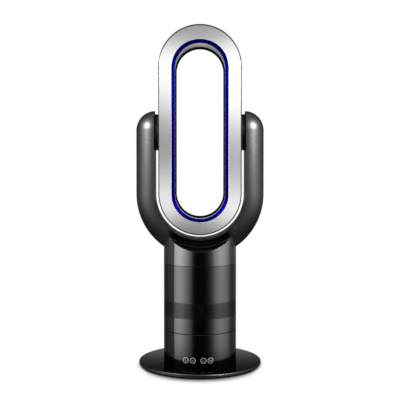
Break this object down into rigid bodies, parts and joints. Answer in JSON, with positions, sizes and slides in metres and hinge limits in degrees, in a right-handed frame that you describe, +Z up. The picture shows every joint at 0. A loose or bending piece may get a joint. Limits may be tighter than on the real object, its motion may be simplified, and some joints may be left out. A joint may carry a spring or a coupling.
{
  "type": "bladeless fan",
  "caption": "Upright bladeless fan: a tall oval air ring tilts in a forked yoke on a round column that swivels over a flat base plate.",
  "frame": {"origin": "on the floor, under the column's axis", "axes": "+Z up along the column's axis, -Y towards the front with the buttons and the silver face, +X to the viewer's right"},
  "size_m": [0.2508, 0.24, 0.66],
  "materials": {
    "plate_gloss": "high gloss",
    "column_satin": "satin, metallic fleck",
    "ring_dark": "satin",
    "hub_black": "fine matt",
    "lip_black": "satin",
    "button_black": "satin",
    "icon_white": "printed",
    "bezel_silver": "satin silver paint",
    "wall_silver": "satin silver",
    "accent_blue": "gloss, deep blue",
    "grille_metal": "satin, perforated",
    "inner_plastic": "moulded",
    "low_friction": "natural",
    "rubber": "matt",
    "steel": "zinc plated",
    "brass": "bright",
    "board": "solder mask",
    "component": "moulded"
  },
  "bodies": {
    "base": {"base_plate": "plate_gloss", "ballast_plate": "steel", "bottom_cover": "inner_plastic", "rubber_feet": "rubber", "base_screws": "steel", "control_housing": "column_satin", "power_inlet": "inner_plastic", "inlet_pins": "brass", "power_board": "board", "board_components": "component", "control_board": "board", "tact_switches": "component", "oscillation_motor": "steel", "motor_screws": "steel", "slide_ring": "low_friction", "pivot_bush": "low_friction"},
    "pinion": {"motor_shaft": "steel", "drive_pinion": "low_friction"},
    "tower": {"turntable": "inner_plastic", "turntable_screws": "steel", "ring_gear": "low_friction", "spigot_washer": "steel", "spigot_nut": "steel", "fan_housing": "column_satin", "intake_grille": "grille_metal", "blower_seal": "rubber", "blower_housing": "inner_plastic", "blower_screws": "steel", "diffuser": "inner_plastic", "motor_sleeve": "rubber", "blower_motor": "steel", "motor_cap": "inner_plastic", "yoke_front_shell": "column_satin", "yoke_rear_shell": "column_satin", "yoke_screws": "steel", "collar_screws": "steel", "hub_bushes": "low_friction"},
    "rotor": {"impeller": "low_friction", "impeller_shaft": "steel", "impeller_nut": "brass"},
    "ring": {"ring_bezel": "bezel_silver", "accent_trim": "accent_blue", "inner_wall": "wall_silver", "outer_shell": "ring_dark", "rear_lip": "lip_black", "ring_screws": "steel", "left_hub": "hub_black", "right_hub": "hub_black", "friction_rings": "rubber", "retaining_rings": "steel", "hub_screws": "steel"},
    "power_button": {"button_power": "button_black", "icon_power": "icon_white"},
    "swing_button": {"button_swing": "button_black", "icon_swing": "icon_white"},
    "down_button": {"button_down": "button_black", "icon_down": "icon_white"},
    "up_button": {"button_up": "button_black", "icon_up": "icon_white"}
  },
  "joints": [
    {"name": "oscillate", "type": "hinge", "parent": "base", "child": "tower", "pos_m": [0, 0, 0.0655], "axis": [0, 0, 1], "range_deg": [-40, 40]},
    {"name": "pinion_spin", "type": "hinge", "parent": "base", "child": "pinion", "pos_m": [0, 0.042, 0.0625], "axis": [0, 0, 1], "range_deg": [-205, 205]},
    {"name": "impeller_spin", "type": "hinge", "parent": "tower", "child": "rotor", "pos_m": [0, 0, 0.145], "axis": [0, 0, 1], "continuous": true},
    {"name": "ring_tilt", "type": "hinge", "parent": "tower", "child": "ring", "pos_m": [0, 0, 0.4552], "axis": [1, 0, 0], "range_deg": [-15, 15]},
    {"name": "press_power", "type": "slide", "parent": "base", "child": "power_button", "axis": [0, 1, 0], "range_m": [0, 0.0006], "stiffness_N_per_m": 2000, "springref_m": -0.0004},
    {"name": "press_swing", "type": "slide", "parent": "base", "child": "swing_button", "axis": [0, 1, 0], "range_m": [0, 0.0006], "stiffness_N_per_m": 2000, "springref_m": -0.0004},
    {"name": "press_down", "type": "slide", "parent": "base", "child": "down_button", "axis": [0, 1, 0], "range_m": [0, 0.0006], "stiffness_N_per_m": 2000, "springref_m": -0.0004},
    {"name": "press_up", "type": "slide", "parent": "base", "child": "up_button", "axis": [0, 1, 0], "range_m": [0, 0.0006], "stiffness_N_per_m": 2000, "springref_m": -0.0004}
  ],
  "couplings": [
    {"joint": "pinion_spin", "follows": "oscillate", "ratio": 5}
  ]
}
